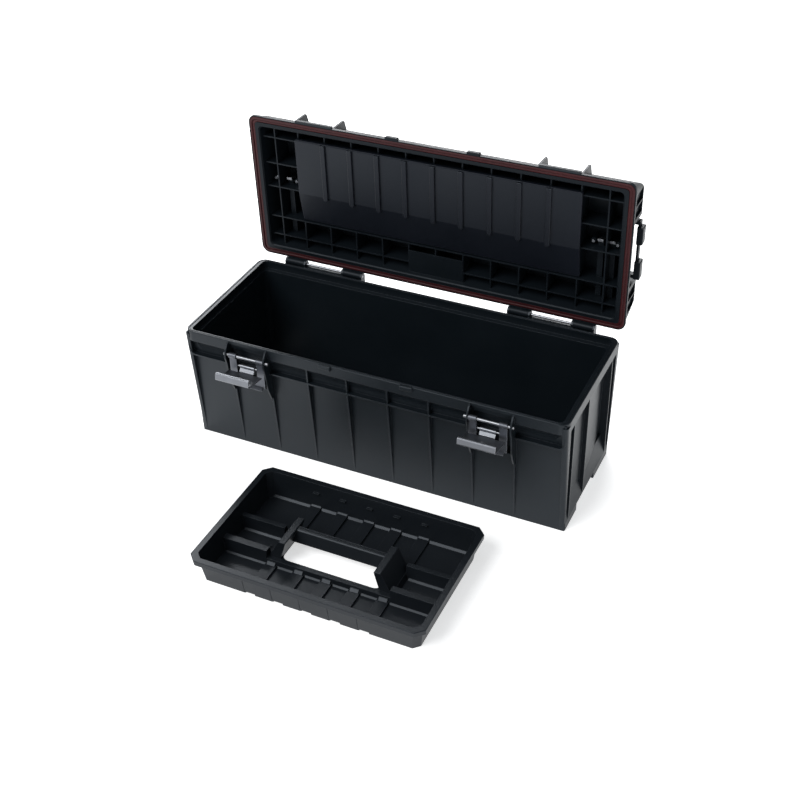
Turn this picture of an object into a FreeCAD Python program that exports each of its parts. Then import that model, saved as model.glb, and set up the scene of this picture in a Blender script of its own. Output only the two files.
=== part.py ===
import FreeCAD, Part
import math
import os
from FreeCAD import Vector

# Long latched toolbox with a lift-out tray. Millimetres.
# Origin: middle of the tub's underside, X along the length, Y to the hinge side, Z up.

# ---- tub ----
RIM_X, RIM_Y, TUB_H = 385.0, 148.0, 254.0      # half length, half depth, height
BASE_Y = 126.5                                 # half depth at the floor
WALL_TOP_Z, WALL_TOP_Y = 238.0, 135.0          # wall plane just under the rim
WALL_X0, WALL_X1 = 368.0, 371.5                # end wall, foot and head
COVE = [(-6, 205), (0, 205), (4.9, 222), (14.3, 232), (-6, 232)]   # hollow sweep under the rim
BULGE = 9.0                                    # how far the end wall bows out
BULGE_HALF = 106.0
FLOOR_T = 4.0
LEDGE_Z = 200.0                                # thin shelf along the long walls
RIB_XS = [-287.0, -205.0, -123.0, -41.0, 41.0, 123.0, 205.0, 287.0]
RIB_T = 3.2
END_RIB_YS = [-107.0, -26.0, 107.0]
LATCH_X = 246.0
EAR_T = 3.0
TAB_X = 82.0

# ---- hinge ----
AXIS_Y, AXIS_Z = 162.0, 254.0
OPEN_DEG = 88.0
HINGE_X = 244.0
HINGE_PIN_R = 2.5
KNUCKLE = (45.3, 83.7)                         # from the hinge middle
CHEEKS = [(-87.5, -84.0), (-45.0, -41.0), (41.0, 45.0), (84.0, 87.5)]

# ---- lid, drawn shut ----
LID_X, LID_Y = 387.5, 153.7
LID_Z = 255.0                                  # sealing face
LID_T = 60.0
CAV_X, CAV_Y = 366.0, 132.5
RIB_PITCH = 57.2
GRID_YS = [110.0, 68.0, 0.0, -52.0, -108.0]
SEAL_OUT, SEAL_IN = (385.5, 152.0), (374.5, 140.6)
GRIP_Y0, GRIP_Y1 = -66.0, 68.0                 # hand pocket in each end
LUGS = [(-50.0, -15.0), (22.0, 59.0)]
BOLT_XS, BOLT_Y = (308.0, 354.5), -9.0
CLIP_XS, CLIP_HALF = (322.5, 344.9), 5.2

# ---- latch ----
PIN_Y, PIN_Z, PIN_R = -158.0, 230.0, 3.0
HOOK_Y, HOOK_Z, HOOK_R = -155.5, 209.0, 2.0
HOOK_OPEN_DEG = 80.0
LATCH_SHIFT = 2.5                              # moving parts sit nearer the middle than the ears
RUN = 0.06                                     # running clearance on a pin, radial

# ---- tray, own axes, then set down in front ----
TRAY_X, TRAY_Y, TRAY_H = 225.0, 140.8, 55.0
TRAY_FLOOR = 3.0
TRAY_AT = Vector(52.0, -375.6, 0.0)
SLOT_XS = [-110.0, -55.0, 0.0, 55.0, 110.0]    # raised bands across the floor
BAND, BAND_H = 11.0, 4.0                       # half width and rise of a band
FRONT_DIV = (-49.0, -44.5, -32.0, -28.0)       # foot, top, top, foot
BACK_DIV = (18.0, 22.0, 31.0, 35.0)
DIV_TOP = 30.0
ISLAND_X, DECK_Z = 126.0, 15.0
LEG_TOP = 52.5

X, Y, Z = Vector(1, 0, 0), Vector(0, 1, 0), Vector(0, 0, 1)


def box(x0, x1, y0, y1, z0, z1):
    return Part.makeBox(x1 - x0, y1 - y0, z1 - z0, Vector(x0, y0, z0))


def rod(r, p, axis, length):
    return Part.makeCylinder(r, length, p, axis)


def along_x(points, x0, x1):
    """Solid with a (y, z) outline, from x0 to x1."""
    pts = [Vector(x0, y, z) for y, z in points]
    return Part.Face(Part.makePolygon(pts + pts[:1])).extrude(Vector(x1 - x0, 0, 0))


def along_y(points, y0, y1):
    """Solid with an (x, z) outline, from y0 to y1."""
    pts = [Vector(x, y0, z) for x, z in points]
    return Part.Face(Part.makePolygon(pts + pts[:1])).extrude(Vector(0, y1 - y0, 0))


def ring_wire(hx, hy, r, z, cy=0.0):
    """Rounded rectangle at height z."""
    k = r * (1 - math.sqrt(0.5))
    e = []
    for sx, sy in [(1, 1), (-1, 1), (-1, -1), (1, -1)]:
        a = Vector(sx * hx, cy + sy * (hy - r), z)
        b = Vector(sx * (hx - r), cy + sy * hy, z)
        m = Vector(sx * (hx - k), cy + sy * (hy - k), z)
        e.append((a, m, b) if sx * sy > 0 else (b, m, a))
    edges = []
    for i, (a, m, b) in enumerate(e):
        edges.append(Part.Arc(a, m, b).toShape())
        edges.append(Part.makeLine(b, e[(i + 1) % 4][0]))
    return Part.Wire(edges)


def cut_wire(hx, hy, c, z):
    """Rectangle with cut corners at height z."""
    p = [(hx, hy - c), (hx - c, hy), (c - hx, hy), (-hx, hy - c),
         (-hx, c - hy), (c - hx, -hy), (hx - c, -hy), (hx, c - hy)]
    pts = [Vector(a, b, z) for a, b in p]
    return Part.makePolygon(pts + pts[:1])


def skin(wires):
    return Part.makeLoft(wires, True, True)


def slab(hx, hy, r, z0, z1):
    return Part.Face(ring_wire(hx, hy, r, z0)).extrude(Vector(0, 0, z1 - z0))


def mirror_x(shape):
    return shape.mirror(Vector(0, 0, 0), X)


def mirror_y(shape):
    return shape.mirror(Vector(0, 0, 0), Y)


def join(shapes):
    return shapes[0].multiFuse(shapes[1:]).removeSplitter() if len(shapes) > 1 else shapes[0]


def turned(shape, at, axis, deg):
    s = shape.copy()
    s.rotate(at, axis, deg)
    return s


def bow(x_edge, rise, half, z0, z1):
    """Upright plate segment bowing towards +X."""
    a, m, b = Vector(x_edge, -half, z0), Vector(x_edge + rise, 0, z0), Vector(x_edge, half, z0)
    c, d = Vector(x_edge - 12, half, z0), Vector(x_edge - 12, -half, z0)
    w = Part.Wire([Part.Arc(a, m, b).toShape(), Part.makeLine(b, c),
                   Part.makeLine(c, d), Part.makeLine(d, a)])
    return Part.Face(w).extrude(Vector(0, 0, z1 - z0))


def slope_y(z):
    """Front face of the posts and ribs at height z."""
    return -(BASE_Y + (RIM_Y - BASE_Y) * z / TUB_H)


# ------------------------------------------------------------------ tub
def window_frame():
    """Shelf with upturned ends, one long side of the tub."""
    def loop(grow):
        x, z0, r = 378.0 + grow, LEDGE_Z - grow, 11.0 + grow
        a, b = Vector(-x, 0, 250), Vector(-x, 0, z0 + r)
        c, d = Vector(-x + r, 0, z0), Vector(x - r, 0, z0)
        e, f = Vector(x, 0, z0 + r), Vector(x, 0, 250)
        k = r * (1 - math.sqrt(0.5))
        m1, m2 = Vector(-x + k, 0, z0 + k), Vector(x - k, 0, z0 + k)
        w = Part.Wire([Part.makeLine(a, b), Part.Arc(b, m1, c).toShape(), Part.makeLine(c, d),
                       Part.Arc(d, m2, e).toShape(), Part.makeLine(e, f), Part.makeLine(f, a)])
        return Part.Face(w).extrude(Vector(0, -16, 0))
    ring = loop(3.0).cut(loop(0.0))
    ring.translate(Vector(0, -129.5, 0))
    return ring


def long_side():
    """Ribs, shelf and wall plate of the front; the back is its mirror image."""
    wall = along_x([(-BASE_Y, 0), (-WALL_TOP_Y, WALL_TOP_Z), (4 - WALL_TOP_Y, WALL_TOP_Z),
                    (4 - BASE_Y, 0)], -RIM_X + 1, RIM_X - 1)
    parts = [wall, window_frame()]
    for x in RIB_XS:
        parts.append(along_x([(3 - BASE_Y, 8), (-BASE_Y - 0.9, 8), (slope_y(200) - 0.6, 200),
                              (-146.3, 247), (-130, 247)], x - RIB_T / 2, x + RIB_T / 2))
    post = along_x([(-BASE_Y, 0), (slope_y(246), 246), (-129, 246), (4 - BASE_Y, 0)],
                   375.0, RIM_X)
    edge = [e for e in post.Edges if abs(e.BoundBox.Center.x - RIM_X) < 0.1
            and e.BoundBox.ZLength > 200 and e.BoundBox.Center.y < -132]
    post = post.makeFillet(6.0, edge)
    return parts + [post, mirror_x(post)]


def ears(cx):
    outline = [(-142, 251), (-149.5, 252), (-154, 249.5), (-159.5, 242), (-163.3, 234),
               (-164.3, 229.5), (-164.3, 223), (-161, 211), (-156.5, 184), (-154, 167),
               (-148.5, 152), (-142.5, 138), (-130, 138), (-130, 236), (-142, 236)]
    out = []
    for x in (cx - 41, cx + 41):
        ear = along_x(outline, x - EAR_T / 2, x + EAR_T / 2)
        out.append(ear)
    out.append(box(cx - 41, cx + 41, -150.5, -129, 163, 166))
    return out


def hinge_bracket(cx):
    body = along_x([(133, 200), (146, 214), (171, 238), (171, 250), (138, 250), (133, 246)],
                   cx - 87.5, cx + 87.5)
    for s in (-1, 1):
        a = cx + s * (45.0 if s > 0 else 84.0)
        body = body.cut(rod(8.2, Vector(a, AXIS_Y, AXIS_Z), X, 39.0))
    parts = [body]
    for a, b in CHEEKS:
        parts.append(along_x([(150, 246), (171, 246), (171, 254), (166.5, 261), (159, 261),
                              (154.6, 256), (154.6, 250), (150, 250)], cx + a, cx + b))
    for x in (cx - 60, cx, cx + 60):
        parts.append(along_x([(130, 120), (133, 120), (146, 214), (168, 238), (130, 238)],
                             x - 1.6, x + 1.6))
    return parts


def end_wall():
    """Bowed panel, ribs and foot frame of the +X end."""
    foot = along_y([(355, 0), (RIM_X, 0), (RIM_X, 16), (374, 56), (355, 56)], -124, 124)
    parts = [foot, bow(WALL_X1 - 3, BULGE, BULGE_HALF, 0, 242)]
    for y in END_RIB_YS:
        parts.append(box(356, RIM_X, y - 1.7, y + 1.7, 0, 247))
    return parts


def cove():
    """Straight runs and rounded corners of the hollow sweep under the rim."""
    hx, hy, r = 370.7, 133.7, 12.0

    def face(place):
        a, b, m, c, d = [place(out, z) for out, z in COVE]
        return Part.Face(Part.Wire([Part.makeLine(a, b), Part.Arc(b, m, c).toShape(),
                                    Part.makeLine(c, d), Part.makeLine(d, a)]))
    long_run = face(lambda o, z: Vector(r - hx, hy + o, z)).extrude(Vector(2 * (hx - r), 0, 0))
    end_run = face(lambda o, z: Vector(hx + o, r - hy, z)).extrude(Vector(0, 2 * (hy - r), 0))
    turn = face(lambda o, z: Vector(hx + o, hy - r, z)).revolve(Vector(hx - r, hy - r, 0), Z, 90)
    half = [end_run, turn, mirror_y(turn)]
    return [long_run, mirror_y(long_run)] + half + [mirror_x(s) for s in half]


def make_tub():
    hull = skin([ring_wire(WALL_X0, BASE_Y, 10, 0), ring_wire(WALL_X1, WALL_TOP_Y, 12, WALL_TOP_Z)])
    lip = slab(RIM_X, RIM_Y, 18, 232, TUB_H)
    lip = lip.makeFillet(1.6, [e for e in lip.Edges if e.BoundBox.ZMin > TUB_H - 0.01])
    front = long_side()
    solid = [hull, lip] + cove() + front + [mirror_y(s) for s in front]
    for s in end_wall():
        solid += [s, mirror_x(s)]
    solid.append(slab(RIM_X - 0.5, BASE_Y, 5, 0, FLOOR_T))
    tub = hull.multiFuse(solid[1:])
    for cx in (-LATCH_X, LATCH_X):
        tub = tub.cut(box(cx - 39.5, cx + 39.5, -160, -135.2, 166, 236))
        tub = tub.cut(box(cx - 39.5, cx + 39.5, -160, -143.6, 230, 247))
        tub = tub.multiFuse(ears(cx))
    for cx in (-HINGE_X, HINGE_X):
        tub = tub.multiFuse(hinge_bracket(cx))
    for x in (-TAB_X, TAB_X):
        tab = box(x - 12.5, x + 12.5, -152.5, -140, 245, TUB_H)
        tab = tab.makeFillet(2.0, [e for e in tab.Edges if e.BoundBox.Center.y < -152])
        tub = tub.fuse(tab)
    room = skin([ring_wire(WALL_X0 - 4, BASE_Y - 3.6, 9, FLOOR_T),
                 ring_wire(WALL_X1 - 4, WALL_TOP_Y - 3.6, 10, WALL_TOP_Z + 0.5)])
    seat = slab(373, 141.4, 9, WALL_TOP_Z, TUB_H + 2)
    bows = bow(WALL_X1 - 6.6, BULGE, BULGE_HALF - 4, FLOOR_T, WALL_TOP_Z - 11)
    tub = tub.cut(room.multiFuse([seat, bows, mirror_x(bows)]))
    bead = slab(380.6, 145.4, 12, TUB_H - 1, TUB_H + 1).cut(slab(378.8, 143.6, 11, 252, 256))
    tub = tub.cut(bead)
    for s in (1, -1):
        pocket = box(369, 395, -60, 40, -1, 15)
        tub = tub.cut(pocket if s > 0 else mirror_x(pocket))
    for cx in (-LATCH_X, LATCH_X):
        tub = tub.cut(rod(PIN_R, Vector(cx - 50, PIN_Y, PIN_Z), X, 100))
    for cx in (-HINGE_X, HINGE_X):
        tub = tub.cut(rod(HINGE_PIN_R, Vector(cx - 87.5, AXIS_Y, AXIS_Z), X, 175))
    return tub.removeSplitter()


# ------------------------------------------------------------------ lid
def lid_room():
    z = LID_Z
    lead = skin([ring_wire(CAV_X + 1.6, CAV_Y + 1.6, 9.6, z), ring_wire(CAV_X, CAV_Y, 8, z + 2)])
    return lead.fuse(skin([ring_wire(CAV_X, CAV_Y, 8, z), ring_wire(354.5, 121, 10, z + 56)]))


def grip_pocket():
    """Hand pocket in the +X end of the lid, open outwards and upwards."""
    return along_y([(370.5, LID_Z + 6), (358.5, LID_Z + LID_T + 1), (400, LID_Z + LID_T + 1),
                    (400, LID_Z + 6)], GRIP_Y0, GRIP_Y1)


def end_dents():
    """Recesses between the upright ribs of the +X end wall of the lid."""
    z = LID_Z
    spans = [(-124, -101), (-98, -75), (77, 98), (101, 124)]
    return [box(381, 392, a, b, z + 11, z + 52) for a, b in spans]


def gusset(x):
    z = LID_Z
    return along_x([(-145, z), (-153.6, z + 2), (-153.6, z + 8), (-150.5, z + 47),
                    (-147, z + 50), (-127, z + 57), (-124, z + 56)], x - 2, x + 2)


def catch(cx):
    """Ledge the latch hook bites over, with its upstand."""
    z = LID_Z
    return along_x([(-145, z), (-153.6, z), (-156.6, z + 3), (-156.6, z + 8.4), (-156, z + 9.2),
                    (-154.8, z + 9.2), (-154.8, z + 6.5), (-145, z + 6.5)], cx - 39, cx + 39)


def make_lid():
    z = LID_Z
    rim = slab(LID_X, LID_Y, 16, z, z + 6.5)
    rim = rim.makeFillet(1.5, [e for e in rim.Edges if e.BoundBox.ZMin > z + 6.4])
    body = skin([ring_wire(385.5, 151.2, 15, z + 6), ring_wire(386, 127.5, 9, z + LID_T - 4)])
    crown = skin([ring_wire(386, 127.5, 9, z + LID_T - 4), ring_wire(381.5, 123, 8, z + LID_T)])
    room = lid_room()
    shell = rim.multiFuse([body, crown]).cut(room)
    for s in (1, -1):
        for dent in [grip_pocket()] + end_dents():
            shell = shell.cut(dent if s > 0 else mirror_x(dent))
    xs = [k * RIB_PITCH for k in range(-5, 6)] + [-338.0, 338.0]
    grid = [box(x - 1.3, x + 1.3, -134, 134, z + 10, z + 57) for x in xs]
    grid += [box(-367, 367, y - 1.3, y + 1.3, z + 10, z + 57) for y in GRID_YS]
    grid.append(box(-RIB_PITCH, RIB_PITCH, 83, 134, z + 9, z + 12))
    web = grid[0].multiFuse(grid[1:])
    web = web.cut(along_x([(0, z + 9.8), (67, z + 9.8), (67, z + 21), (0, z + 10)], -291, 291))
    for s in (1, -1):
        boss = [box(x - CLIP_HALF, x + CLIP_HALF, -12, 108, z + 30, z + 57) for x in CLIP_XS]
        boss += [rod(5, Vector(x, BOLT_Y, z + 30), Z, 27) for x in BOLT_XS]
        for b in boss:
            b = b if s > 0 else mirror_x(b)
            web = web.fuse(b)
    web = web.common(room)
    shell = shell.fuse(web)
    extra = []
    for cx in (-LATCH_X, LATCH_X):
        extra += [gusset(cx - 41), gusset(cx + 41), catch(cx)]
    for x in (-TAB_X, TAB_X):
        tab = box(x - 12.5, x + 12.5, -158, -146, z, z + 9)
        extra.append(tab.makeFillet(2.0, [e for e in tab.Edges if e.BoundBox.Center.y < -157.5]))
    for cx in (-HINGE_X, HINGE_X):
        for a in (cx - KNUCKLE[1], cx + KNUCKLE[0]):
            w = KNUCKLE[1] - KNUCKLE[0]
            extra.append(rod(7.2, Vector(a, AXIS_Y, AXIS_Z), X, w))
            extra.append(along_x([(141, z + 1), (155.5, z + 1), (156, z), (164, z + 1),
                                  (163.5, z + 10), (144, z + 30), (138, z + 30)], a, a + w))
    for y in (-96.0, -32.0, 32.0, 96.0):
        extra.append(box(-340, 340, y - 3, y + 3, z + LID_T - 1, z + LID_T + 3))
    for x in (-340.0, -114.0, 114.0, 340.0):
        extra.append(box(x - 3, x + 3, -99, 99, z + LID_T - 1, z + LID_T + 3))
    shell = shell.multiFuse(extra)
    groove = slab(*SEAL_OUT, 14, z - 1, z + 4.5).cut(slab(*SEAL_IN, 7, z - 2, z + 5))
    shell = shell.cut(groove)
    for cx in (-HINGE_X, HINGE_X):
        shell = shell.cut(rod(HINGE_PIN_R + RUN, Vector(cx - 90, AXIS_Y, AXIS_Z), X, 180))
    for s in (1, -1):
        for x in BOLT_XS:
            shell = shell.cut(rod(2.0, Vector(s * x, BOLT_Y, z + 24), Z, 20))
    return shell.removeSplitter()


def make_seal():
    """Base strip with two soft beads, the outer one a little prouder."""
    z = LID_Z
    (ox, oy), (ix, iy) = SEAL_OUT, SEAL_IN
    base = slab(ox, oy, 14, z + 1.6, z + 4.5).cut(slab(ix, iy, 7, z, z + 6))
    beads = []
    for lo, hi, top in ((0.4, 5.0, 0.9), (6.0, 10.6, -0.6)):
        rim = slab(ix + hi, iy + hi, 7 + hi * 0.6, z + top, z + 3)
        well = slab(ix + lo, iy + lo, 7 + lo * 0.6, z - 3, z + 4)
        bead = rim.cut(well)
        crest = [e for e in bead.Edges if e.BoundBox.ZMax < z + top + 0.01]
        beads.append(bead.makeFillet(1.4, crest))
    return base.multiFuse(beads).removeSplitter()


def make_panel():
    z = LID_Z
    plate = along_x([(-116, z + 3.4), (-113.5, z + 2.6), (0, z + 2.6), (65, z + 13.6),
                     (65, z + 20.2), (0, z + 9.7), (-116, z + 9.7)], -290, 290)
    corner = [e for e in plate.Edges if e.BoundBox.ZLength > 2 and abs(e.BoundBox.Center.x) > 289
              and e.BoundBox.YLength < 0.1]
    plate = plate.makeFillet(2.5, corner)
    beads = []
    for k in range(-4, 5):
        x = k * RIB_PITCH
        bead = box(x - 5, x + 5, -115, 1, z - 1.8, z + 5).fuse(rod(5, Vector(x, 1, z - 1.8), Z, 6.8))
        bead = bead.removeSplitter()
        beads.append(bead.makeFillet(1.3, [e for e in bead.Edges if e.BoundBox.ZMax < z - 1.7]))
    return plate.multiFuse(beads).removeSplitter()


def make_grip():
    """Bar with two finger lugs, on arms from a plate against the +X end wall of the lid."""
    z = LID_Z
    bar = box(385.5, 390.5, -60, 60, z + 38, z + 50)
    bar = bar.makeFillet(1.5, [e for e in bar.Edges if e.BoundBox.YLength > 100])
    parts = []
    for y0, y1 in LUGS:
        lug = box(385.5, 397.5, y0, y1, z + 33, z + 50.5)
        parts.append(lug.makeFillet(2.0, [e for e in lug.Edges if e.BoundBox.Center.x > 396]))
    for y0, y1 in ((-60, -53), (53, 60)):
        parts.append(box(350, 390, y0, y1, z + 38, z + 50))
    plate = along_y([(373.5, z + 6), (361.5, z + 61), (350, z + 61), (350, z + 6)], -62, 62)
    outside = along_y([(370.5, z + 6), (358.5, z + 61), (400, z + 61), (400, z + 6)],
                      GRIP_Y0, GRIP_Y1)
    parts.append(plate.common(box(350, 374, -62, 62, z + 30, z + 52)))
    return bar.multiFuse(parts).common(outside).removeSplitter()


def make_bolts():
    z = LID_Z
    out = []
    for x in BOLT_XS:
        head = rod(3.4, Vector(x, BOLT_Y, z + 26), Z, 4.0)
        head = head.makeFillet(1.0, [e for e in head.Edges if e.BoundBox.ZMax < z + 26.1])
        out.append(head.fuse(rod(1.95, Vector(x, BOLT_Y, z + 29), Z, 12)).removeSplitter())
    return out


def make_clips():
    """Bent spring clips hooked over the front of the pillars."""
    z = LID_Z
    out = []
    for x in CLIP_XS:
        a, b = x - CLIP_HALF, x + CLIP_HALF
        leg = box(a, b, -13.6, -12.0, z + 24, z + 38)
        out.append(leg.fuse(box(a, b, -17.0, -12.0, z + 24, z + 25.6)).removeSplitter())
    return out


# ------------------------------------------------------------------ latches
def make_lever(cx):
    parts = []
    for a in (-36.5, 21.5):
        parts.append(rod(5.5, Vector(cx + a, PIN_Y, PIN_Z), X, 15))
        parts.append(box(cx + a, cx + a + 15, -159.6, -157, 172, 228))
    parts.append(box(cx - 36.5, cx + 36.5, -159.6, -157, 172, 194))
    parts.append(along_x([(-157, 173), (-159.6, 175.5), (-165.6, 169.5), (-164.2, 167.7),
                          (-157.4, 172)], cx - 32, cx + 32))
    for a in (-36.5, 34.5):
        parts.append(along_x([(-159, 176), (-153, 180), (-151, 196), (-153.5, 222), (-159, 226)],
                             cx + a, cx + a + 2))
    for a in (-24.0, 21.5):
        parts.append(along_x([(-159, 196), (-152.5, 196), (-150.6, 202), (-150.6, 213),
                              (-154, 219), (-159, 221)], cx + a, cx + a + 2.5))
    lever = join(parts)
    lever = lever.cut(rod(PIN_R + RUN, Vector(cx - 50, PIN_Y, PIN_Z), X, 100))
    return lever.cut(rod(HOOK_R, Vector(cx - 30, HOOK_Y, HOOK_Z), X, 60))


def make_hook(cx):
    """Drawn upright over the catch, then laid open."""
    barrel = rod(4.2, Vector(cx - 15, HOOK_Y, HOOK_Z), X, 30)
    tongue = along_x([(-155.5, 207.6), (-165.4, 212.4), (-166.5, 214.5), (-166.5, 220),
                      (-164.5, 220), (-164.5, 215), (-155.5, 210.6)], cx - 15, cx + 15)
    plate = along_x([(-166.5, 219), (-166.5, 264.5), (-165.6, 266.9), (-163.5, 268), (-154, 268),
                     (-152.2, 267.2), (-151.5, 265.5), (-151.5, 262.4), (-153.5, 262.4),
                     (-153.5, 265), (-154.3, 266), (-163.3, 266), (-164.5, 264.5),
                     (-164.5, 219)], cx - 35.5, cx + 35.5)
    hook = join([barrel, tongue, plate])
    hook = hook.cut(rod(HOOK_R + RUN, Vector(cx - 30, HOOK_Y, HOOK_Z), X, 60))
    eye = rod(3.0, Vector(cx, -180, 241), Y, 20)
    return turned(hook.cut(eye), Vector(0, HOOK_Y, HOOK_Z), X, HOOK_OPEN_DEG)


def make_latch_pin(cx):
    """Longer on the side nearer the middle of the tub."""
    x0 = cx - (46.5 if cx > 0 else 48.5)
    pin = rod(PIN_R, Vector(x0, PIN_Y, PIN_Z), X, 95)
    return pin.makeFillet(0.8, [e for e in pin.Edges if e.BoundBox.XLength < 0.1])


def make_hook_pin(cx):
    return rod(HOOK_R, Vector(cx - 24.4, HOOK_Y, HOOK_Z), X, 48.8)


def make_hinge_pin(cx):
    return rod(HINGE_PIN_R, Vector(cx - 87.3, AXIS_Y, AXIS_Z), X, 174.6)


# ------------------------------------------------------------------ tray
def divider(ys, x0, x1):
    a, b, c, d = ys
    z = TRAY_FLOOR - 1
    return along_x([(a, z), (b, DIV_TOP), (c, DIV_TOP), (d, z)], x0, x1)


def box_wire(x0, x1, y0, y1, z):
    pts = [Vector(x0, y0, z), Vector(x1, y0, z), Vector(x1, y1, z), Vector(x0, y1, z)]
    return Part.makePolygon(pts + pts[:1])


def tray_bands():
    """Raised bands, their thrust blocks and the strips along the compartment feet."""
    z = TRAY_FLOOR
    y0, y1 = FRONT_DIV[0], BACK_DIV[3]
    out = []
    for x in SLOT_XS:
        out.append(box(x - BAND, x + BAND, -123, y0 + 2, z - 1, z + BAND_H))
        out.append(box(x - BAND, x + BAND, y1 - 2, 123, z - 1, z + BAND_H))
        out.append(along_x([(y0 - 4.2, z + 3), (y0 - 4.2, z + BAND_H), (y0 + 0.5, z + 8.5),
                            (y0 + 3, z + 8.5), (y0 + 3, z + 3)], x - 8, x + 8))
        out.append(along_x([(119.2, z + 3), (119.2, z + BAND_H), (121.6, z + BAND_H + 2.4),
                            (124, z + BAND_H + 2.4), (124, z + 3)], x - BAND + 1, x + BAND - 1))
        out.append(box(x - 6, x + 6, 122, 128, 35.5, 37.5))
    xs = [-204.0] + SLOT_XS + [204.0]
    for a, b in zip(xs[:-1], xs[1:]):
        a += 0 if a < -200 else BAND + 1
        b -= 0 if b > 200 else BAND + 1
        out.append(along_x([(y0 - 2.4, z - 1), (y0 - 2.4, z), (y0 + 0.2, z + 2.6), (y0 + 3, z + 2.6),
                            (y0 + 3, z - 1)], a, b))
        out.append(along_x([(117.4, z - 1), (117.4, z), (121, z + 3.6), (124, z + 3.6), (124, z - 1)],
                           a, b))
    for s in (-1, 1):
        a, b = sorted((s * 127.0, s * 204.0))
        y = BACK_DIV[0]
        out.append(along_x([(y - 3.2, z - 1), (y - 3.2, z), (y, z + 3), (y + 3, z + 3), (y + 3, z - 1)],
                           a, b))
        out.append(rod(3.0, Vector(s * 137, -5, z - 1), Z, 2.5))
    return out


def make_tray():
    wall = skin([cut_wire(210, 124.6, 11, 0), cut_wire(216.2, 132.2, 13, 46)])
    flange = skin([cut_wire(224.4, TRAY_Y - 0.8, 15, 44.5), cut_wire(TRAY_X, TRAY_Y, 15, TRAY_H)])
    flange = flange.makeFillet(1.0, [e for e in flange.Edges if e.BoundBox.ZMin > TRAY_H - 0.01])
    room = skin([cut_wire(206, 120.8, 9, TRAY_FLOOR), cut_wire(213.6, 129.6, 11, TRAY_H + 0.5)])
    tray = wall.fuse(flange).cut(room)
    inner = [divider(ys, ISLAND_X - 5, 214) for ys in (FRONT_DIV, BACK_DIV)]
    inner += [mirror_x(s) for s in inner]
    y0, y1 = FRONT_DIV[0], BACK_DIV[3]
    foot = box_wire(-ISLAND_X, ISLAND_X, y0, y1, TRAY_FLOOR - 1)
    deck = box_wire(-ISLAND_X + 5, ISLAND_X - 5, y0 + 2.2, y1 - 2.2, DECK_Z)
    inner.append(skin([foot, deck]))
    inner += tray_bands()
    limit = skin([cut_wire(207, 121.8, 9, 1), cut_wire(213.6, 129.4, 11, 46)])
    tray = tray.fuse(inner[0].multiFuse(inner[1:]).common(limit))
    under = skin([box_wire(-ISLAND_X + 3, ISLAND_X - 3, y0 + 3, y1 - 3, -1),
                  box_wire(-ISLAND_X + 8, ISLAND_X - 8, y0 + 5, y1 - 5, DECK_Z - 2.5)])
    hole = skin([ring_wire(97, 31, 14, -1, -6), ring_wire(97, 31, 14, 30, -6)])
    cuts = [under, hole]
    for x in SLOT_XS:
        for a, b in ((-130, y0 + 0.5), (y1 - 0.5, 130)):
            cuts.append(box(x - BAND + 1.5, x + BAND - 1.5, a, b, -1, BAND_H))
        for s in (-1, 1):
            cuts.append(along_x([(s * 123.8, -1), (s * 131.1, 44), (s * 136, 44), (s * 130, -1)],
                                x - BAND - 0.4, x - BAND + 1.5))
    rows = skin([cut_wire(222, 138, 14, 43), cut_wire(222.4, 138.4, 14, TRAY_H - 3)])
    core = skin([cut_wire(215.6, 131.6, 13, 42), cut_wire(217.6, 133.6, 14, TRAY_H)])
    cuts.append(rows.cut(core))
    return tray.cut(cuts[0].multiFuse(cuts[1:])).removeSplitter()


def make_tray_handle():
    """Two hollow legs standing on the deck and the bar between them."""
    z = DECK_Z
    leg = skin([box_wire(97, 120.5, -38, 32, z), box_wire(86, 99.4, -36, 37, LEG_TOP)])
    leg = leg.makeFillet(1.5, [e for e in leg.Edges if e.BoundBox.ZMin > LEG_TOP - 0.1])
    bar = along_x([(0, 27), (7.2, 48.8), (9, 50.5), (18, 50.5), (19.4, 49), (21, 27)], -99, 99)
    between = skin([box_wire(-98, 98, -40, 40, z), box_wire(-87, 87, -40, 40, LEG_TOP)])
    handle = leg.multiFuse([mirror_x(leg), bar.common(between)])
    inside = skin([box_wire(100, 117.3, -35, 29, z - 0.1), box_wire(89.2, 96.2, -33, 34, 49.5)])
    slot = box(-84.5, 84.5, 13, 15.6, 48.7, 52)
    core = along_x([(3, 26), (9.2, 47), (17.2, 47), (18.2, 26)], -83, 83)
    return handle.cut(inside.multiFuse([mirror_x(inside), slot, core])).removeSplitter()


def place_tray(shape):
    s = shape.copy()
    s.translate(TRAY_AT)
    return s


def open_lid(shape):
    return turned(shape, Vector(0, AXIS_Y, AXIS_Z), X, -OPEN_DEG)


def save(name, shapes):
    shapes = shapes if isinstance(shapes, list) else [shapes]
    solids = []
    for s in shapes:
        solids += s.Solids
    out = solids[0] if len(solids) == 1 else Part.makeCompound(solids)
    out.exportStep("parts/" + name + ".step")
    print(name, len(solids), "solid(s)", round(sum(s.Volume for s in solids) / 1000.0, 1), "cm3")


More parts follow.
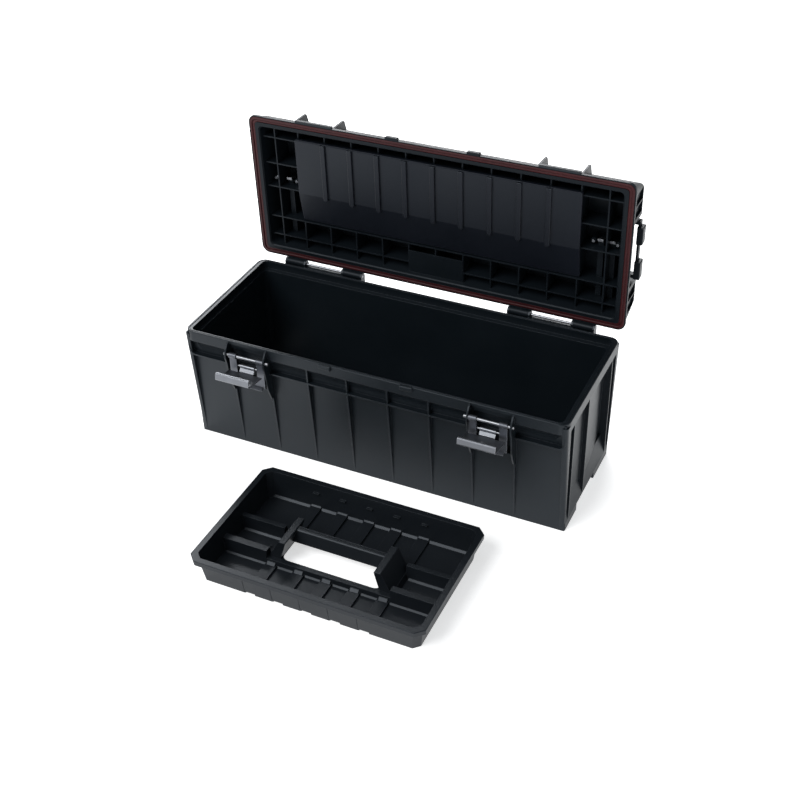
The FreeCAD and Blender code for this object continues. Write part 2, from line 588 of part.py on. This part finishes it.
def main():
    os.makedirs("parts", exist_ok=True)
    save("tub", make_tub())
    save("lid_shell", open_lid(make_lid()))
    save("lid_seal", open_lid(make_seal()))
    save("lid_panel", open_lid(make_panel()))
    grip, bolts, clips = make_grip(), make_bolts(), make_clips()
    for side, flip in (("right", False), ("left", True)):
        def put(s):
            return open_lid(mirror_x(s) if flip else s)
        save("lid_grip_" + side, put(grip))
        save("grip_bolts_" + side, [put(b) for b in bolts])
        save("grip_clips_" + side, [put(c) for c in clips])
    for side, sign in (("left", -1), ("right", 1)):
        save("hinge_pin_" + side, make_hinge_pin(sign * HINGE_X))
        cx = sign * (LATCH_X - LATCH_SHIFT)
        save("latch_pin_" + side, make_latch_pin(cx))
        save("latch_lever_" + side, make_lever(cx))
        save("latch_hook_" + side, make_hook(cx))
        save("hook_pin_" + side, make_hook_pin(cx))
    save("tray_shell", place_tray(make_tray()))
    save("tray_handle", place_tray(make_tray_handle()))


main()
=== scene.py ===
import math

import bpy
from mathutils import Matrix, Vector

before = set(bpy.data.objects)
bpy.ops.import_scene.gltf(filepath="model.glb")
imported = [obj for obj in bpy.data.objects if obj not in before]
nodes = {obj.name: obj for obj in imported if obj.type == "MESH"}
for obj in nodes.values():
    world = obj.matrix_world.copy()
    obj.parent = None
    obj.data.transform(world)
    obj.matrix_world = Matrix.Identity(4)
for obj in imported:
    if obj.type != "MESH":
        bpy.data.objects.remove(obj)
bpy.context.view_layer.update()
scene = bpy.context.scene
SIDES = ("left", "right")

# ---- camera, about the middle of the tub's underside ----
CAM_AT = Vector((0.8903, -1.8551, 1.6029))
CAM_AZ, CAM_EL, CAM_ROLL = 26.48, 35.94, -1.77        # degrees
CAM_LENS, CAM_SENSOR = 58.68, 36.0                    # mm
CAM_SHIFT = (0.0185, -0.0053)

# ---- light ----
WORLD = 0.40                                          # strength of the even surround
WORLD_TINT = (0.93, 0.97, 1.0, 1)
FLOOR_HALF = 14.0                                     # m, half the side of the floor sheet
FLOOR_GLOW = 0.58                                     # keeps the paper white
KEY, KEY_SPREAD = 2.0, 36.0                           # strength, degrees across
KEY_FROM = (-0.36, -0.59, 0.72)                       # direction towards the light
BACK_AT, BACK_AIM = (-1.5, 2.9, 2.3), (0, 0, 0.1)     # m
BACK_SIZE, BACK_POWER = (3.2, 1.5), 165.0             # m, W

# ---- moulded plastic ----
PLASTIC_IOR = 1.47
PLASTIC_SHEEN_TINT = (0.84, 0.91, 1.0, 1.0)           # colour of the reflections
RUBBED_RADIUS = 0.0018                                # m, width of the rubbed edges


# ------------------------------------------------------------------ node helpers
class Graph:
    """A material's node tree with short calls for the nodes used here."""

    def __init__(self, name):
        self.mat = bpy.data.materials.new(name)
        self.mat.use_nodes = True
        self.tree = self.mat.node_tree
        self.bsdf = next(n for n in self.tree.nodes if n.type == "BSDF_PRINCIPLED")
        self.coord = self.tree.nodes.new("ShaderNodeTexCoord").outputs["Object"]

    def add(self, kind, **props):
        node = self.tree.nodes.new(kind)
        for key, value in props.items():
            setattr(node, key, value)
        return node

    def link(self, a, b):
        self.tree.links.new(a, b)

    def scaled(self, scale):
        """Object coordinates stretched by (x, y, z)."""
        m = self.add("ShaderNodeMapping")
        m.inputs["Scale"].default_value = scale
        self.link(self.coord, m.inputs["Vector"])
        return m.outputs["Vector"]

    def noise(self, scale, detail=3.0, rough=0.55, stretch=None):
        n = self.add("ShaderNodeTexNoise")
        n.inputs["Scale"].default_value = scale
        n.inputs["Detail"].default_value = detail
        n.inputs["Roughness"].default_value = rough
        self.link(self.scaled(stretch) if stretch else self.coord, n.inputs["Vector"])
        return n.outputs["Fac"]

    def ramp(self, value, low, high, to_low=0.0, to_high=1.0):
        r = self.add("ShaderNodeMapRange", clamp=True)
        keys = ("From Min", "From Max", "To Min", "To Max")
        for key, v in zip(keys, (low, high, to_low, to_high)):
            r.inputs[key].default_value = v
        self.link(value, r.inputs["Value"])
        return r.outputs["Result"]

    def math(self, op, a, b=None):
        m = self.add("ShaderNodeMath", operation=op)
        for i, v in enumerate((a, b)):
            if v is None:
                continue
            if isinstance(v, (int, float)):
                m.inputs[i].default_value = v
            else:
                self.link(v, m.inputs[i])
        return m.outputs[0]

    def blend(self, fac, a, b):
        """Colour a where fac is 0 and b where it is 1. Each is a colour or a socket."""
        m = self.add("ShaderNodeMix", data_type="RGBA")
        self.link(fac, m.inputs[0])
        for i, v in ((6, a), (7, b)):
            if isinstance(v, tuple):
                m.inputs[i].default_value = (*v, 1.0)
            else:
                self.link(v, m.inputs[i])
        return m.outputs[2]

    def edges(self, radius, low=0.02, high=0.30):
        """1 on outer edges and corners, 0 on flats, from a rounded normal."""
        soft = self.add("ShaderNodeBevel", samples=4)
        soft.inputs["Radius"].default_value = radius
        true = self.add("ShaderNodeNewGeometry").outputs["True Normal"]
        dot = self.add("ShaderNodeVectorMath", operation="DOT_PRODUCT")
        self.link(soft.outputs["Normal"], dot.inputs[0])
        self.link(true, dot.inputs[1])
        return self.ramp(self.math("SUBTRACT", 1.0, dot.outputs["Value"]), low, high)

    def bump(self, height, strength, distance, normal=None):
        b = self.add("ShaderNodeBump")
        b.inputs["Strength"].default_value = strength
        b.inputs["Distance"].default_value = distance
        self.link(height, b.inputs["Height"])
        if normal is not None:
            self.link(normal, b.inputs["Normal"])
        return b.outputs["Normal"]

    def rounded(self, radius):
        soft = self.add("ShaderNodeBevel", samples=4)
        soft.inputs["Radius"].default_value = radius
        return soft.outputs["Normal"]

    def to(self, socket, value):
        if isinstance(value, (int, float)):
            self.bsdf.inputs[socket].default_value = value
        else:
            self.link(value, self.bsdf.inputs[socket])


# ------------------------------------------------------------------ materials
def plastic(name, base, rubbed, rough, grain, round_r, shine):
    """Moulded black plastic: fine grain, cloudy gloss, hair scratches, rubbed edges."""
    g = Graph(name)
    cloud = g.ramp(g.noise(7.0, 4.0), 0.3, 0.7)
    fine = g.noise(620.0, 2.0, 0.6)
    scratch = g.ramp(g.noise(60.0, 5.0, 0.7, (1.0, 1.0, 14.0)), 0.62, 0.74)
    patchy = g.ramp(g.noise(45.0, 4.0), 0.35, 0.62)
    edge = g.math("MULTIPLY", g.edges(RUBBED_RADIUS), patchy)
    dark = tuple(c * 0.82 for c in base)
    colour = g.blend(cloud, dark, base)
    colour = g.blend(g.math("MULTIPLY", edge, 0.7), colour, rubbed)
    colour = g.blend(g.math("MULTIPLY", scratch, 0.12), colour, rubbed)
    g.to("Base Color", colour)
    gloss = g.ramp(cloud, 0.0, 1.0, rough - 0.05, rough + 0.06)
    gloss = g.math("ADD", gloss, g.math("MULTIPLY", fine, 0.06))
    g.to("Roughness", g.math("ADD", gloss, g.math("MULTIPLY", scratch, 0.08)))
    g.to("IOR", PLASTIC_IOR)
    g.to("Specular IOR Level", shine)
    g.bsdf.inputs["Specular Tint"].default_value = PLASTIC_SHEEN_TINT
    normal = g.rounded(round_r)
    normal = g.bump(fine, grain, 0.00012, normal)
    g.to("Normal", g.bump(g.noise(28.0, 2.0), 0.10, 0.0006, normal))
    return g.mat


def rubber():
    g = Graph("seal_rubber")
    cloud = g.ramp(g.noise(18.0, 4.0), 0.3, 0.7)
    dust = g.ramp(g.noise(240.0, 3.0), 0.52, 0.72)
    colour = g.blend(cloud, (0.031, 0.0040, 0.0054), (0.047, 0.0062, 0.0080))
    colour = g.blend(g.math("MULTIPLY", dust, 0.18), colour, (0.10, 0.035, 0.036))
    g.to("Base Color", colour)
    g.to("Roughness", g.ramp(cloud, 0.0, 1.0, 0.44, 0.56))
    g.to("Specular IOR Level", 0.26)
    g.to("Normal", g.bump(g.noise(500.0, 2.0), 0.25, 0.0001, g.rounded(0.0006)))
    return g.mat


def steel(name, base, worn, rough, stretch=(1.0, 18.0, 18.0)):
    """Dull zinc plate with a brushed lie, cloudy patches and bright rubbed edges."""
    g = Graph(name)
    cloud = g.ramp(g.noise(38.0, 4.0), 0.32, 0.68)
    brush = g.noise(130.0, 3.0, 0.65, stretch)
    edge = g.edges(0.0009, 0.03, 0.25)
    colour = g.blend(cloud, tuple(c * 0.8 for c in base), base)
    colour = g.blend(g.math("MULTIPLY", edge, 0.75), colour, worn)
    g.to("Base Color", colour)
    g.to("Metallic", 1.0)
    gloss = g.ramp(brush, 0.3, 0.7, rough - 0.06, rough + 0.08)
    g.to("Roughness", g.math("ADD", gloss, g.math("MULTIPLY", cloud, 0.07)))
    g.to("Normal", g.bump(brush, 0.18, 0.00008, g.rounded(0.0005)))
    return g.mat


def give(names, material):
    for name in names:
        mesh = nodes[name].data
        mesh.materials.clear()
        mesh.materials.append(material)


def dress_frame():
    tub = plastic("tub_plastic", base=(0.0055, 0.0084, 0.0112), rubbed=(0.024, 0.030, 0.038),
                  rough=0.37, grain=0.30, round_r=0.0010, shine=0.32)
    lid = plastic("lid_plastic", base=(0.0055, 0.0080, 0.0106), rubbed=(0.016, 0.020, 0.026),
                  rough=0.40, grain=0.30, round_r=0.0004, shine=0.19)
    panel = plastic("panel_plastic", base=(0.0062, 0.0078, 0.0118), rubbed=(0.030, 0.034, 0.046),
                    rough=0.32, grain=0.16, round_r=0.0008, shine=0.29)
    tray = plastic("tray_plastic", base=(0.0066, 0.0086, 0.0112), rubbed=(0.040, 0.046, 0.054),
                   rough=0.37, grain=0.26, round_r=0.0007, shine=0.34)
    # lever zinc: the same zinc as the hooks painted darker, as painted shade for the lever plate
    # lying shaded behind the hook lip
    lever = steel("lever_zinc_painted_shade", (0.115, 0.122, 0.138), (0.40, 0.42, 0.45), 0.40)
    plate = steel("hook_zinc", (0.20, 0.21, 0.23), (0.60, 0.62, 0.65), 0.33)
    pin = steel("pin_steel", (0.30, 0.31, 0.33), (0.62, 0.63, 0.65), 0.34)
    give(["tub"], tub)
    give(["lid_shell", "lid_grip_left", "lid_grip_right"], lid)
    give(["lid_panel"], panel)
    give(["lid_seal"], rubber())
    give(["tray_shell", "tray_handle"], tray)
    for side in SIDES:
        give(["latch_lever_" + side], lever)
        give([n + side for n in ("latch_hook_", "grip_bolts_", "grip_clips_")], plate)
        give([n + side for n in ("hinge_pin_", "latch_pin_", "hook_pin_")], pin)


# ------------------------------------------------------------------ stage
def make_floor():
    mesh = bpy.data.meshes.new("floor")
    ways = ((-1, -1), (1, -1), (1, 1), (-1, 1))
    corners = [(sx * FLOOR_HALF, sy * FLOOR_HALF, 0) for sx, sy in ways]
    mesh.from_pydata(corners, [], [(0, 1, 2, 3)])
    floor = bpy.data.objects.new("floor", mesh)
    scene.collection.objects.link(floor)
    g = Graph("floor_paper")
    shade = g.ramp(g.noise(3.0, 2.0), 0.3, 0.7)
    g.to("Base Color", g.blend(shade, (0.86, 0.86, 0.86), (0.88, 0.88, 0.88)))
    g.to("Roughness", 0.9)
    g.bsdf.inputs["Emission Color"].default_value = (1, 1, 1, 1)
    g.to("Emission Strength", FLOOR_GLOW)
    mesh.materials.append(g.mat)


def make_lights():
    world = bpy.data.worlds.new("studio")
    world.use_nodes = True
    back = world.node_tree.nodes["Background"]
    back.inputs["Color"].default_value = WORLD_TINT
    back.inputs["Strength"].default_value = WORLD
    scene.world = world
    data = bpy.data.lights.new("key", "SUN")
    data.energy = KEY
    data.angle = math.radians(KEY_SPREAD)
    key = bpy.data.objects.new("key", data)
    key.rotation_euler = Vector(KEY_FROM).to_track_quat("Z", "Y").to_euler()
    scene.collection.objects.link(key)
    data = bpy.data.lights.new("back_panel", "AREA")
    data.shape = "RECTANGLE"
    data.size, data.size_y = BACK_SIZE
    data.energy = BACK_POWER
    panel = bpy.data.objects.new("back_panel", data)
    panel.location = BACK_AT
    away = Vector(BACK_AT) - Vector(BACK_AIM)
    panel.rotation_euler = away.to_track_quat("Z", "Y").to_euler()
    scene.collection.objects.link(panel)


def make_camera():
    data = bpy.data.cameras.new("camera")
    data.sensor_width = CAM_SENSOR
    data.lens = CAM_LENS
    data.shift_x, data.shift_y = CAM_SHIFT
    data.clip_start, data.clip_end = 0.05, 60.0
    cam = bpy.data.objects.new("camera", data)
    az, el, roll = (math.radians(a) for a in (CAM_AZ, CAM_EL, CAM_ROLL))
    back = Vector((math.sin(az) * math.cos(el), -math.cos(az) * math.cos(el), math.sin(el)))
    right = (-back).cross(Vector((0, 0, 1))).normalized()
    up = right.cross(-back)
    across = right * math.cos(roll) + up * math.sin(roll)
    upward = up * math.cos(roll) - right * math.sin(roll)
    turn = Matrix((across, upward, back)).transposed().to_4x4()
    cam.matrix_world = Matrix.Translation(CAM_AT) @ turn
    scene.collection.objects.link(cam)
    scene.camera = cam


dress_frame()
make_floor()
make_lights()
make_camera()
scene.view_settings.view_transform = "Standard"
